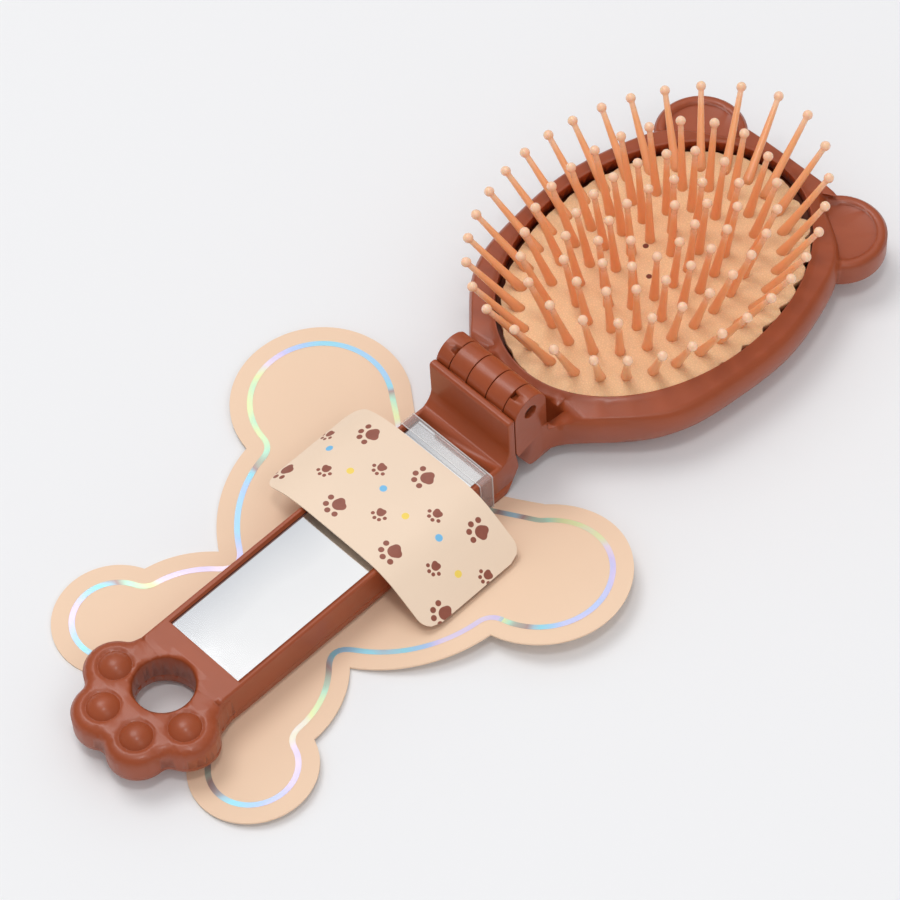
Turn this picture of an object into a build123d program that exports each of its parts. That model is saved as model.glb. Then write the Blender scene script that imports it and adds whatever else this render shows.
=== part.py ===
from build123d import *
import os
from math import acos, atan, cos, degrees, hypot, pi, sin, sqrt

os.makedirs("parts", exist_ok=True)

# A folding hairbrush: a handle with a mirror let into it, and an egg-shaped brush head that
# swings over the mirror on a five-knuckle hinge. Every piece is drawn with x measured from the
# hinge axis (+X to the head), y across and z from the mirror's face; save() then sets it down
# with the card's underside at z = 0 and x = 0 below the middle of the mirror. Sizes in mm.

# ---- Mirror and its bed ----
mirror_length = 65.8
mirror_width = 19.0
mirror_thickness = 1.8
mirror_corner = 0.5
mirror_clearance = 0.05        # glass to the walls of its bed, each side
adhesive_thickness = 0.3
adhesive_margin = 1.5          # the tape stays back from the glass edge
hinge_reach = 10.6             # hinge axis to the glass edge

# ---- Handle ----
side_wall = 1.25               # strip of handle beside the glass
wall_rise = 0.9                # top of that strip above the glass
handle_depth = 8.95            # glass face to the handle's underside
shell = 1.8                    # outer wall of the two halves
bed_thickness = 1.5            # floor under the mirror
cover_depth = 3.0              # height of the back half
cover_lip_height = 1.2         # rib of the back half that locates it in the front half
cover_lip_thickness = 0.8
lip_clearance = 0.05
bar_edge = 0.55                # rounding along the bar's top edges
underside_edge = 1.2           # bevel round the underside

# ---- Paw end ----
hole_setback = 10.1            # mirror's far edge to the hang hole
hang_hole_radius = 6.0
hang_hole_edge = 0.6
palm_radius = 12.3
toe_pad_places = [(3.5, 9.7), (11.1, 4.6)]     # beyond the hole, off the centre line
toe_lobe_radius = 6.25
notch_rounding = 2.2           # between the lobes
waist_rounding = 8.0           # palm into bar
paw_edge = 2.0                 # width of the paw's rounded top edge
toe_ball_radius = 4.0          # sphere that bulges out of each toe
toe_ball_rise = 1.3
toe_dish_radius = 3.9          # shallow dish round the foot of the bulge
toe_dish_depth = 0.3
toe_sides = 20

# ---- Hinge ----
hinge_rise = 11.2              # axis above the mirror's face
knuckle_radius = 4.15
knuckle_break_inner = 2.6      # middle knuckle to its neighbours
knuckle_break_outer = 7.35     # handle's knuckles to the outer ones
knuckle_half = 10.75           # outer faces
knuckle_gap = 0.12             # side play at each break
pin_radius = 1.5
pin_clearance = 0.05
pin_recess = 1.2               # pin's ends below the outer faces
flange_front = 6.1             # upright's face on the mirror side, from the axis
flange_top = 12.7
stop_gap = 0.1                 # neck to the handle's end face with the brush open
cove_radius = 4.2              # from the glass up to the upright
cove_start = 0.3
chin_reach = 0.75              # nose of the end face beyond its upper part
chin_drop = 3.0
heel_setback = 6.8             # bottom corner of the end face, from the axis
web_top = 0.8                  # knuckle webs above the axis
latch_notch = 1.3              # small square notch at the two outer breaks

# ---- Brush head ----
head_middle = 38.9             # middle of the egg, from the axis
head_half_length = 46.9
head_half_width = 31.2
head_lean = 0.17               # how much wider the egg is toward the ears
head_depth = 9.4               # mirror's face to the lowest point of the back
rim_top = 3.8                  # outer edge of the lip
tip_draw_share = 0.6           # the far tip is drawn in less than the sides
neck_half = 10.75
neck_drop = 6.0                # underside of the neck
neck_top = 6.6                 # saddle under the handle's knuckles
neck_front_cut = 3.6           # how far the neck's foot stands back from its face
parting_drop = 5.0             # rim to back cover
wall_levels = [(-parting_drop, 2.2), (-2.6, 0.5), (0.2, 0.0), (2.0, 0.4), (3.2, 1.15),
               (rim_top, 2.05)]     # height, drawn in from the fullest outline
lip_top = 4.65
lip_reach_end = 10.9           # head's outline to the opening, at the ends and sides
lip_reach_side = 4.45
opening_forward = 6.6          # opening's middle beyond the head's
lip_slope_end = 2.2            # sloping part of the lip at its ends and sides
lip_slope_side = 2.1
lip_thickness = 2.75
shoulder_start = 2.4           # where the neck begins to widen
shoulder_points = [(8.6, 15.0), (13.0, 19.6)]
shoulder_turn = 0.62 * pi      # the egg takes over here
sweep_length = 6.5             # rim's edge rising from the notch
pocket_wall = 1.2              # side walls of the slot behind the knuckles
pocket_flare = 1.6
pocket_middle = 3.35           # slot from the neck's back to the rim, on the centre line
pocket_side = 4.6              # and at its sides
pocket_floor = 3.2             # below the mirror's face
notch_height = 1.6             # where the ear plate's back edge meets the rim
ear_radius = 9.6
ear_x = 79.0
ear_y = 19.0
ear_top = 2.0
ear_thickness = 6.0
ear_rim = 2.2                  # raised edge round the dish
ear_dish = 0.9
ear_edge = 0.8

# ---- Cushion ----
pad_gap = 1.7                  # pad to the opening's edge
pad_top = 4.1
pad_edge_drop = 1.0             # bevel that crowns the pad's edge
pad_edge_draw = 2.0
pad_thickness = 2.5
skirt_forward = 0.4            # flange under the lip: its middle beyond the opening's
skirt_reach_end = 1.0          # and how far it passes the opening's edge
skirt_reach_side = 1.65
skirt_thickness = 1.2
cover_reach_end = 8.3          # head's outline to the back cover's
cover_reach_side = 2.0
cover_levels = [(0.0, 0.0), (1.3, 1.2), (2.35, 3.2), (3.85, 9.0)]  # below the parting, drawn in
cover_floor_draw = 16.0
cover_sides = 54
cover_wall = 1.4               # wall that carries the clamp ring
cover_wall_gap = 0.3
hidden_sides = 36              # flats round the oval seats that nothing shows
seat_gap = 0.03                # between pieces that rest on each other
clamp_width = 3.6
clamp_height = 1.8
vent_radius = 0.55
vent_places = [(48.0, 4.8), (43.0, -0.9)]

# ---- Pins ----
pin_foot_radius = 1.05
pin_neck_radius = 0.6
pin_ball_radius = 0.92
pin_socket_depth = 1.2
pin_socket_clearance = 0.05
pin_reach = 15.2               # pad to the middle of the ball
pin_reach_ears = 17.8          # the same for the outer pins beside the ears
pin_sides = 5
pin_back = 0.5                 # middle of the rings behind the pad's
pin_names = ["pins_outer_ring", "pins_second_ring", "pins_third_ring", "pins_fourth_ring",
             "pins_centre_row"]
pin_counts = [32, 24, 18, 12, 2]
pin_starts = [0.34, 0.15, 0.0, 0.0, 0.0]       # first pin, as a share of the spacing
pin_insets = [(4.1, 3.4), (10.1, 9.3), (16.1, 14.4), (21.9, 19.4), (28.9, 24.9)]
pin_leans = [(1.0, 7.4, 7.2), (0.6, 4.5, 4.3), (0.3, 2.6, 2.3), (0.2, 1.6, 1.4),
             (0.1, 0.8, 0.1)]  # tip beyond foot: forward, outward along x, outward along y
pin_lean_ears = 6.5            # extra lean of the outer pins beside the ears

# ---- Backing card, band and strap ----
card_thickness = 0.4
card_seat = 0.05               # card to the handle's underside
card_shift = 1.5               # the card sits a little to one side
ear_lobe = (-14.5, 33.7, 15.9)         # x, y, radius of the two upper lobes
arm_lobe = (-81.0, 21.2, 13.2)         # and of the two lower ones
card_head = (-30.0, 32.0, 31.0)        # middle, half length, half width
card_body = (-72.0, 23.5, 26.0)
card_front = -6.5              # front edge where it passes under the handle
card_front_half = 11.5
crotch_start = -77.0
crotch_half = 8.0
band_middle = -30.5
band_width = 24.0
band_reach = 23.0              # half span on the card
band_shift = 1.0               # its feet sit a little to one side, like the card
band_thickness = 0.3
band_lift = 0.6                # over the handle's edges
band_bend = 4.5                # radius of its bends
band_foot = 4.0                # part that lies on the card
band_corner = 3.5
strap_middle = -12.6
strap_width = 3.4
strap_thickness = 0.25

# ---- Worked out from the sizes above ----
handle_half = mirror_width / 2 + mirror_clearance + side_wall
mirror_near = -hinge_reach
mirror_far = mirror_near - mirror_length
mirror_middle = (mirror_near + mirror_far) / 2
hole_x = mirror_far - hole_setback
bed_top = -mirror_thickness - adhesive_thickness
cavity_top = bed_top - bed_thickness
underside = -handle_depth
parting = underside + cover_depth
end_face = -knuckle_radius - stop_gap
rest_z = underside - card_seat - card_thickness
opening_middle = head_middle + opening_forward
opening_half_length = head_half_length - lip_reach_end
opening_half_width = head_half_width - lip_reach_side
pad_middle = opening_middle - 0.2
pad_half_length = opening_half_length - pad_gap
pad_half_width = opening_half_width - pad_gap
skirt_middle = opening_middle + skirt_forward
skirt_half_length = opening_half_length + skirt_reach_end
skirt_half_width = opening_half_width + skirt_reach_side
cover_middle = opening_middle - 0.2
cover_half_length = head_half_length - cover_reach_end
cover_half_width = head_half_width - cover_reach_side
lip_underside = lip_top - lip_thickness
skirt_bottom = lip_underside - seat_gap - skirt_thickness
clamp_bottom = skirt_bottom - seat_gap - clamp_height
place = Pos(-mirror_middle, 0, -rest_z)


def save(piece, name):
    """Move a piece to the rest frame and write it as one STEP file."""
    moved = place * piece
    moved.label = name
    export_step(moved, f"parts/{name}.step")


def block(x0, x1, y0, y1, z0, z1):
    """Box between two corners."""
    return Pos((x0 + x1) / 2, (y0 + y1) / 2, (z0 + z1) / 2) * Box(x1 - x0, y1 - y0, z1 - z0)


def side_profile(corners):
    """Face in the x-z plane from (x, z, radius) corners, each rounded by its radius."""
    face = make_face(Polyline(*[(x, z) for x, z, radius in corners], close=True))
    for x, z, radius in corners:
        if radius:
            face = fillet(face.vertices().sort_by_distance((x, z, 0))[0], radius)
    return Plane.XZ * face


def across(profile, y0, y1):
    """Extrude a side profile from y0 to y1."""
    return Pos(0, y1, 0) * extrude(profile, y1 - y0)


def rod(radius, y0, y1):
    """Cylinder on the hinge axis."""
    return Pos(0, (y0 + y1) / 2, hinge_rise) * Rot(90, 0, 0) * Cylinder(radius, y1 - y0)


def oval_prism(middle, half_length, half_width, z0, z1):
    """Upright prism on an ellipse."""
    return Pos(middle, 0, z0) * extrude(Ellipse(half_length, half_width), z1 - z0)


def flat_sided_oval(half_length, half_width, sides):
    """Oval face drawn in flats."""
    turns = [2 * pi * (i + 0.5) / sides for i in range(sides)]
    return make_face(Polyline(*[(half_length * cos(t), half_width * sin(t)) for t in turns],
                              close=True))


def hidden_prism(middle, half_length, half_width, z0, z1):
    """Upright prism in flats, for seats and hollows that nothing shows."""
    face = flat_sided_oval(half_length, half_width, hidden_sides)
    return Pos(middle, 0, z0) * extrude(face, z1 - z0)


def frustum(sides, z0, z1, r0, r1):
    """Frustum in flats, drawn from its wider end; r0 and r1 reach its corners."""
    height = z1 - z0
    slope = abs(r0 - r1) * cos(pi / sides) / height
    upright = extrude(RegularPolygon(max(r0, r1), sides), height, taper=degrees(atan(slope)))
    if r0 < r1:
        return Pos(0, 0, z1) * Rot(180, 0, 0) * upright
    return Pos(0, 0, z0) * upright


# ---------------------------------------------------------------- handle
def paw_outline():
    """Palm, four toe lobes and the start of the bar, with the hang hole's middle as origin."""
    stem = hole_setback - mirror_clearance
    outline = Circle(palm_radius) + Pos(stem / 2, 0) * Rectangle(stem, 2 * handle_half)
    for beyond, off in toe_pad_places:
        for side in (-1, 1):
            outline += Pos(-beyond, side * off) * Circle(toe_lobe_radius)
    waist = [v for v in outline.vertices() if 5 < v.X < stem - 0.1 and abs(v.Y) > 9]
    outline = fillet(waist, waist_rounding)
    return fillet([v for v in outline.vertices() if v.X < 3], notch_rounding)


def make_toe():
    """Bulge of one toe in flats that follow a sphere."""
    middle = toe_ball_rise - toe_ball_radius
    widest = acos((-toe_dish_depth - middle) / toe_ball_radius)
    turns = [widest, 0.55 * widest, 0.22 * widest]
    curve = [(middle + toe_ball_radius * cos(t), toe_ball_radius * sin(t)) for t in turns]
    toe = extrude(Pos(0, 0, -1) * RegularPolygon(curve[0][1], toe_sides), 1 + curve[0][0])
    for (z0, r0), (z1, r1) in zip(curve, curve[1:]):
        toe += frustum(toe_sides, z0, z1, r0, r1)
    return toe


def make_paw():
    """Paw with its rounded edges and four toe bulges, each in a shallow dish."""
    height = handle_depth + wall_rise
    paw = Pos(0, 0, underside) * extrude(paw_outline(), height)
    top = paw.faces().sort_by(Axis.Z)[-1]
    paw = chamfer(top.edges(), paw_edge, 0.41 * paw_edge, reference=top)
    step = wall_rise - 0.41 * paw_edge
    lower = [e for e in paw.edges() if abs(e.center().Z - step) < 0.01
             and e.bounding_box().size.Z < 0.01]
    paw = chamfer(lower, 0.38 * paw_edge)
    paw = chamfer(paw.faces().sort_by(Axis.Z)[0].edges(), underside_edge)
    for beyond, off in toe_pad_places:
        for side in (-1, 1):
            toe = Pos(-beyond, side * off, wall_rise)
            paw -= toe * frustum(toe_sides, -toe_dish_depth, toe_dish_depth,
                                 toe_dish_radius - 2 * toe_dish_depth,
                                 toe_dish_radius + 2 * toe_dish_depth)
            paw += toe * make_toe()
    return Pos(hole_x, 0, 0) * paw


def make_bar():
    """Straight part of the handle, from inside the paw to the upright."""
    bar = block(hole_x + palm_radius / 3, -flange_front - 1.0, -handle_half, handle_half,
                underside, wall_rise)
    long_edges = bar.edges().filter_by(Axis.X).group_by(Axis.Z)
    bar = fillet(long_edges[-1], bar_edge)
    long_edges = bar.edges().filter_by(Axis.X).group_by(Axis.Z)
    return chamfer(long_edges[0], underside_edge)


def make_upright():
    """End of the handle: cove, upright and the nose under the hinge."""
    back = -hinge_reach - 1.5
    profile = side_profile([
        (back, cove_start, 0),
        (-flange_front, cove_start, cove_radius),
        (-flange_front, flange_top, 0.7),
        (end_face, flange_top, 0.7),
        (end_face, 1.6, 3.0),
        (end_face + chin_reach, -chin_drop, 1.0),
        (-heel_setback, underside, 1.2),
        (back, underside, 0),
    ])
    upright = across(profile, -handle_half, handle_half)
    corners = [e for e in upright.edges().filter_by(GeomType.LINE)
               if abs(e.center().Z - flange_top) < 0.75 and abs(e.center().Y) > handle_half - 0.1
               and e.length < 1.0]
    if corners:
        upright = chamfer(corners, 0.25)
    return upright


def make_handle():
    """Whole handle before it is parted, with its two knuckles."""
    handle = make_bar() + make_paw() + make_upright()
    handle -= Pos(hole_x, 0, underside) * Cylinder(hang_hole_radius, 3 * handle_depth)
    rim = hang_hole_edge
    for z, turn in ((wall_rise, 0), (underside, 180)):
        handle -= Pos(hole_x, 0, z) * Rot(turn, 0, 0) * Cone(
            hang_hole_radius, hang_hole_radius + 2 * rim, 2 * rim)
    for side in (-1, 1):
        y0, y1 = sorted((side * (knuckle_break_inner + knuckle_gap),
                         side * (knuckle_break_outer - knuckle_gap)))
        handle += rod(knuckle_radius, y0, y1)
        handle += block(end_face - 0.5, 0, y0, y1,
                        hinge_rise - knuckle_radius + 0.8, hinge_rise + web_top)
    handle -= rod(pin_radius + pin_clearance, -knuckle_half, knuckle_half)
    grow = mirror_clearance
    handle -= block(mirror_far - grow, mirror_near + grow, -mirror_width / 2 - grow,
                    mirror_width / 2 + grow, bed_top, 2 * flange_top)
    return handle


def handle_cavity(z0, z1, inset=0.0):
    """Hollow of the bar between two heights."""
    half = handle_half - shell - inset
    return block(mirror_far + inset, mirror_near - inset, -half, half, z0, z1)


handle = make_handle()
far = 4 * handle_half
split_low = block(hole_x - far, far, -far, far, 2 * underside, parting)
handle_frame = handle - split_low
handle_frame -= handle_cavity(parting, cavity_top)
handle_back = handle & split_low
handle_back -= handle_cavity(underside + shell, parting)
lip_ring = handle_cavity(parting - 1.0, parting + cover_lip_height, lip_clearance)
lip_ring -= handle_cavity(parting - 1.0, parting + cover_lip_height,
                          lip_clearance + cover_lip_thickness)
foot_ring = handle_cavity(parting - 1.0, parting, 0)
foot_ring -= handle_cavity(parting - 1.0, parting, lip_clearance + cover_lip_thickness)
handle_back += lip_ring + foot_ring
save(handle_frame, "handle_frame")
save(handle_back, "handle_back")

glass = Pos(mirror_middle, 0, -mirror_thickness) * extrude(
    RectangleRounded(mirror_length, mirror_width, mirror_corner), mirror_thickness)
save(glass, "mirror")
tape = block(mirror_far + adhesive_margin, mirror_near - adhesive_margin,
             adhesive_margin - mirror_width / 2, mirror_width / 2 - adhesive_margin,
             bed_top, -mirror_thickness)
save(tape, "mirror_adhesive")

hinge_pin = rod(pin_radius, pin_recess - knuckle_half, knuckle_half - pin_recess)
save(hinge_pin, "hinge_pin")


# ---------------------------------------------------------------- brush head
def half_outline(z, draw):
    """Half of the neck and egg outline, drawn in from the fullest one by a distance."""
    half_length = head_half_length - tip_draw_share * draw
    half_width = head_half_width - draw
    ease = 1 - draw / head_half_width
    start = (shoulder_start, neck_half)
    points = [start] + [(x, y * ease) for x, y in shoulder_points]
    for i in range(7):
        t = shoulder_turn * (1 - i / 6)
        points.append((head_middle + half_length * cos(t),
                       half_width * sin(t) * (1 + head_lean * cos(t))))
    curve = Spline(*points, tangents=[(1, 0.1), (0, -1)])
    tip = points[-1]
    front = -knuckle_radius
    rest = Polyline(tip, (front, 0), (front, neck_half), start)
    return Pos(0, 0, z) * make_face([curve, rest])


def make_shell():
    """Side wall, lip and ears, still solid inside."""
    half = loft([half_outline(z, draw) for z, draw in wall_levels], ruled=True)
    body = half + mirror(half, about=Plane.XZ)
    body += loft([
        Pos(opening_middle, 0, rim_top - 0.4) * Ellipse(opening_half_length + lip_slope_end,
                                                        opening_half_width + lip_slope_side),
        Pos(opening_middle, 0, lip_top) * Ellipse(opening_half_length + 0.3,
                                                  opening_half_width + 0.3),
    ], ruled=True)
    for side in (-1, 1):
        centre = Pos(ear_x, side * ear_y, ear_top - ear_thickness / 2)
        ear = centre * Cylinder(ear_radius, ear_thickness)
        ear = chamfer(ear.edges().filter_by(GeomType.CIRCLE), ear_edge)
        ear -= Pos(ear_x, side * ear_y, ear_top) * Cylinder(ear_radius - ear_rim, 2 * ear_dish)
        body += ear
    return body


def make_neck():
    """Neck under the hinge with the three knuckles it carries."""
    profile = side_profile([
        (-knuckle_radius, neck_top, 0),
        (-knuckle_radius, 1.0, 6.0),
        (-knuckle_radius + neck_front_cut, -neck_drop, 2.0),
        (knuckle_radius + 2.2, -neck_drop, 0),
        (knuckle_radius + 2.2, 0, 0),
        (knuckle_radius, 0, 0),
        (knuckle_radius, neck_top, 0),
    ])
    neck = across(profile, -neck_half, neck_half)
    plate = side_profile([
        (-knuckle_radius, neck_top - 1, 0),
        (knuckle_radius, neck_top - 1, 0),
        (knuckle_radius, hinge_rise, 0),
        (-knuckle_radius, hinge_rise, 0),
    ])
    ends = knuckle_break_outer + knuckle_gap
    middle = knuckle_break_inner - knuckle_gap
    for y0, y1 in ((-neck_half, -ends), (-middle, middle), (ends, neck_half)):
        neck += across(plate, y0, y1) + rod(knuckle_radius, y0, y1)
    return neck


def make_rim():
    """Head shell and neck with the opening, the slot behind the hinge and the pin's bore."""
    rim = make_shell()
    front_cut = side_profile([
        (-2 * knuckle_radius, 2 * lip_top, 0),
        (-2 * knuckle_radius, -head_depth, 0),
        (-knuckle_radius + neck_front_cut + 0.3, -head_depth, 0),
        (-knuckle_radius + neck_front_cut, -neck_drop, 0),
        (-knuckle_radius, 1.0, 6.0),
        (-knuckle_radius, 2 * lip_top, 0),
    ])
    rim -= across(front_cut, -2 * neck_half, 2 * neck_half)
    sweep = side_profile([
        (knuckle_radius, notch_height, 0),
        (knuckle_radius + 1.2, notch_height, 1.0),
        (knuckle_radius + sweep_length, rim_top + 0.2, 0),
        (knuckle_radius + sweep_length, 3 * lip_top, 0),
        (knuckle_radius, 3 * lip_top, 0),
    ])
    inner = neck_half - pocket_wall
    for y0, y1 in ((-2 * neck_half, -inner), (inner, 2 * neck_half)):
        rim -= across(sweep, y0, y1)
    rim += make_neck()
    corner = (knuckle_radius + pocket_side, inner + pocket_flare)
    pocket_outline = make_face([
        Polyline(corner, (knuckle_radius, inner), (knuckle_radius, -inner), (corner[0], -corner[1])),
        ThreePointArc((corner[0], -corner[1]), (knuckle_radius + pocket_middle, 0), corner),
    ])
    rim -= Pos(0, 0, -pocket_floor) * extrude(pocket_outline, 3 * lip_top)
    rim -= oval_prism(opening_middle, opening_half_length, opening_half_width, 0, 2 * lip_top)
    rim -= hidden_prism(skirt_middle, skirt_half_length, skirt_half_width, -head_depth,
                        lip_underside)
    rim -= rod(pin_radius + pin_clearance, -neck_half, neck_half)
    notch_z = hinge_rise + knuckle_radius
    for side in (-1, 1):
        edge = side * (knuckle_break_outer + knuckle_gap)
        y0, y1 = sorted((edge, edge + side * latch_notch))
        rim -= block(-1.6 * latch_notch, -0.4 * latch_notch, y0, y1, notch_z - 1.1, notch_z + 1)
    return rim


def make_head_back():
    """Domed back cover with the wall that carries the clamp ring."""
    levels = cover_levels + [(head_depth - parting_drop, cover_floor_draw)]
    outline = flat_sided_oval(cover_half_length, cover_half_width, cover_sides)
    cover = Part()
    for (drop, draw), (next_drop, next_draw) in zip(levels, levels[1:]):
        height = next_drop - drop
        layer = extrude(outline, height, taper=degrees(atan((next_draw - draw) / height)))
        outline = layer.faces().sort_by(Axis.Z)[-1]
        cover += layer
    cover = Pos(cover_middle, 0, -parting_drop) * Rot(180, 0, 0) * cover
    inner = cover_levels[-1][1]
    cover -= hidden_prism(cover_middle, cover_half_length - inner, cover_half_width - inner,
                          shell - head_depth, 0)
    outer = cover_wall_gap
    inner = cover_wall_gap + cover_wall
    wall = hidden_prism(skirt_middle, skirt_half_length - outer, skirt_half_width - outer,
                        -parting_drop - cover_wall / 2, clamp_bottom - seat_gap)
    wall -= hidden_prism(skirt_middle, skirt_half_length - inner, skirt_half_width - inner,
                         -parting_drop - cover_wall, 0)
    return cover + wall


def make_pad():
    """Rubber pad with a crowned edge and a skirt, hollow underneath."""
    pad = oval_prism(pad_middle, pad_half_length, pad_half_width, skirt_bottom,
                     pad_top - pad_edge_drop)
    pad += loft([
        Pos(pad_middle, 0, pad_top - pad_edge_drop) * Ellipse(pad_half_length, pad_half_width),
        Pos(pad_middle, 0, pad_top) * Ellipse(pad_half_length - pad_edge_draw,
                                              pad_half_width - pad_edge_draw),
    ], ruled=True)
    pad += hidden_prism(skirt_middle, skirt_half_length - seat_gap, skirt_half_width - seat_gap,
                        skirt_bottom, skirt_bottom + skirt_thickness)
    pad -= hidden_prism(pad_middle, pad_half_length - pad_thickness,
                        pad_half_width - pad_thickness, skirt_bottom - 1,
                        pad_top - pad_thickness)
    for x, y in vent_places:
        pad -= Pos(x, y, pad_top) * extrude(RegularPolygon(vent_radius, 8), 2 * pad_thickness,
                                            both=True)
    return pad


def even_turns(half_length, half_width, count, start):
    """Angles that space copies evenly along an ellipse."""
    fine = [2 * pi * i / 720 for i in range(721)]
    run = [0.0]
    for a, b in zip(fine, fine[1:]):
        run.append(run[-1] + hypot(half_length * (cos(b) - cos(a)),
                                   half_width * (sin(b) - sin(a))))
    turns = []
    for i in range(count):
        goal = run[-1] * (i + start) / count
        turns.append(min(zip(run, fine), key=lambda pair: abs(pair[0] - goal))[1])
    return turns


def pin_body(reach):
    """One ball-tipped pin standing on its origin, with few faces because it repeats."""
    ball = pin_ball_radius
    neck = reach - 0.85 * ball
    pin = frustum(pin_sides, -pin_socket_depth, neck, pin_foot_radius, pin_neck_radius)
    pin += frustum(pin_sides, neck, reach, pin_neck_radius, ball)
    return pin + frustum(pin_sides, reach, reach + 0.8 * ball, ball, 0.5 * ball)


def pins_of(ring):
    """Planes on the pad, square to each pin's axis, and reaches of one ring of pins."""
    half_length = pad_half_length - pin_insets[ring][0]
    half_width = pad_half_width - pin_insets[ring][1]
    forward, lean_x, lean_y = pin_leans[ring]
    outer = ring == 0
    places = []
    for t in even_turns(half_length, half_width, pin_counts[ring], pin_starts[ring]):
        ears = max(cos(t), 0) ** 8 if outer else 0
        reach = pin_reach + (pin_reach_ears - pin_reach) * ears
        out_x = forward + lean_x * cos(t) + pin_lean_ears * ears
        out_y = lean_y * sin(t)
        rise = sqrt(reach ** 2 - out_x ** 2 - out_y ** 2)
        foot = (pad_middle - pin_back + half_length * cos(t), half_width * sin(t), pad_top)
        places.append((Plane(origin=foot, z_dir=(out_x, out_y, rise)), reach))
    return places


save(make_rim(), "head_rim")
save(make_head_back(), "head_back")
pad = make_pad()
socket = Pos(0, 0, -pin_socket_depth) * extrude(
    RegularPolygon(pin_foot_radius + pin_socket_clearance, pin_sides), 3 * pin_socket_depth)
sockets = []
bodies = {}
for ring, name in enumerate(pin_names):
    placed = pins_of(ring)
    for plane, reach in placed:
        key = round(reach, 3)
        bodies[key] = bodies.get(key) or pin_body(reach)
    save(Compound([plane.location * bodies[round(reach, 3)] for plane, reach in placed]), name)
    sockets += [plane.location * socket for plane, reach in placed]
save(pad - sockets, "cushion")
clamp = hidden_prism(skirt_middle, skirt_half_length - 0.3, skirt_half_width - 0.3,
                     clamp_bottom, clamp_bottom + clamp_height)
clamp -= hidden_prism(skirt_middle, skirt_half_length - clamp_width,
                      skirt_half_width - clamp_width, clamp_bottom - 1, pad_top)
save(clamp, "cushion_ring")


# ---------------------------------------------------------------- card, band and strap
def card_outline():
    """Bear-shaped outline: head, body, two ears and two arms, cut back at both ends."""
    outline = Pos(card_head[0], 0) * Ellipse(card_head[1], card_head[2])
    outline += Pos(card_body[0], 0) * Ellipse(card_body[1], card_body[2])
    for x, y, radius in (ear_lobe, arm_lobe):
        for side in (-1, 1):
            outline += Pos(x, side * y) * Circle(radius)
    reach = card_head[1]
    outline -= Pos(card_front + reach, 0) * Rectangle(2 * reach, 2 * card_front_half)
    outline -= Pos(crotch_start - reach, 0) * Rectangle(2 * reach, 2 * crotch_half)
    return outline


def bent_strip(path_corners, radius, thickness, middle, width):
    """Thin strip that follows a path in the y-z plane."""
    path = FilletPolyline(*path_corners, radius=radius)
    strip = extrude(Plane.YZ * trace(path, thickness), width)
    return Pos(middle - width / 2, 0, 0) * strip


card_top = underside - card_seat
card = Pos(0, card_shift, card_top - card_thickness) * extrude(card_outline(), card_thickness)
save(card, "backing_card")

band_low = card_top + seat_gap + band_thickness / 2
band_high = wall_rise + band_lift + band_thickness / 2
shoulder = handle_half + 0.9
band_left = band_shift - band_reach
band_right = band_shift + band_reach
band = bent_strip([
    (band_left, band_low), (band_left + band_foot, band_low), (-shoulder, band_high),
    (shoulder, band_high), (band_right - band_foot, band_low), (band_right, band_low),
], band_bend, band_thickness, band_middle, band_width)
band_plan = Pos(band_middle, band_shift, 2 * underside) * extrude(
    RectangleRounded(band_width, 2 * band_reach, band_corner), 4 * handle_depth)
save(band & band_plan, "card_band")

strap_side = handle_half + seat_gap + strap_thickness / 2
strap_high = wall_rise + seat_gap + strap_thickness / 2
strap = bent_strip([
    (-strap_side, card_top + seat_gap), (-strap_side, strap_high), (strap_side, strap_high),
    (strap_side, card_top + seat_gap),
], 0.5, strap_thickness, strap_middle, strap_width)
save(strap, "clear_strap")
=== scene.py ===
import math

import bmesh
import bpy
from bpy.props import FloatProperty, FloatVectorProperty, IntProperty, PointerProperty
from mathutils import Matrix, Vector, noise


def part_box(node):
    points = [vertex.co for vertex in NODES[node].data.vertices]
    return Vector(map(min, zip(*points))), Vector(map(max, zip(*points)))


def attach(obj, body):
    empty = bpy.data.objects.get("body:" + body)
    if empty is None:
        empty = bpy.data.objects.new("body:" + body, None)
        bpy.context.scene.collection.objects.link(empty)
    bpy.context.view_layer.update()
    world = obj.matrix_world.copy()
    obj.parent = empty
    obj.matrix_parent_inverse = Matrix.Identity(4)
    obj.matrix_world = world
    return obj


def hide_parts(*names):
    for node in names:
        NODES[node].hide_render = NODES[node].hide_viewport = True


bl_info = {
    "name": "Folding Hairbrush",
    "version": (1, 0, 0),
    "blender": (4, 5, 0),
    "location": "3D View > Sidebar > Hairbrush",
    "description": "Dresses the folding hairbrush: plastic, mirror, cushion, pins, card and band",
    "category": "Object",
}

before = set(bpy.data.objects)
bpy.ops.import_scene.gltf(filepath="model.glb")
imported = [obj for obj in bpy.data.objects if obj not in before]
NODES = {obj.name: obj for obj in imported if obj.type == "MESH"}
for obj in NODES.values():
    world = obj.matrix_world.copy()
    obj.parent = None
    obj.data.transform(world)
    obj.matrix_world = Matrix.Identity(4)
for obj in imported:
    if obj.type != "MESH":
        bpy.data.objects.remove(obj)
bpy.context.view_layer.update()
MM = 0.001                      # sizes named below are in millimetres, unless they say metres
MERGE = 1e-6                    # vertices closer than this, in metres, are one


def linear(r, g, b):
    """The linear colour of an 8-bit screen colour."""
    def one(v):
        v /= 255.0
        return v / 12.92 if v <= 0.04045 else ((v + 0.055) / 1.055) ** 2.4
    return (one(r), one(g), one(b), 1.0)


# ---------------------------------------------------------------- settings


def length(name, description, default):
    """A length property in metres."""
    return FloatProperty(name=name, description=description, default=default,
                         min=0.0, unit="LENGTH", precision=5)


def colour(name, description, rgb):
    """A colour property from an 8-bit screen colour."""
    return FloatVectorProperty(name=name, description=description, size=4, min=0.0,
                               max=1.0, subtype="COLOR", default=linear(*rgb))


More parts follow.
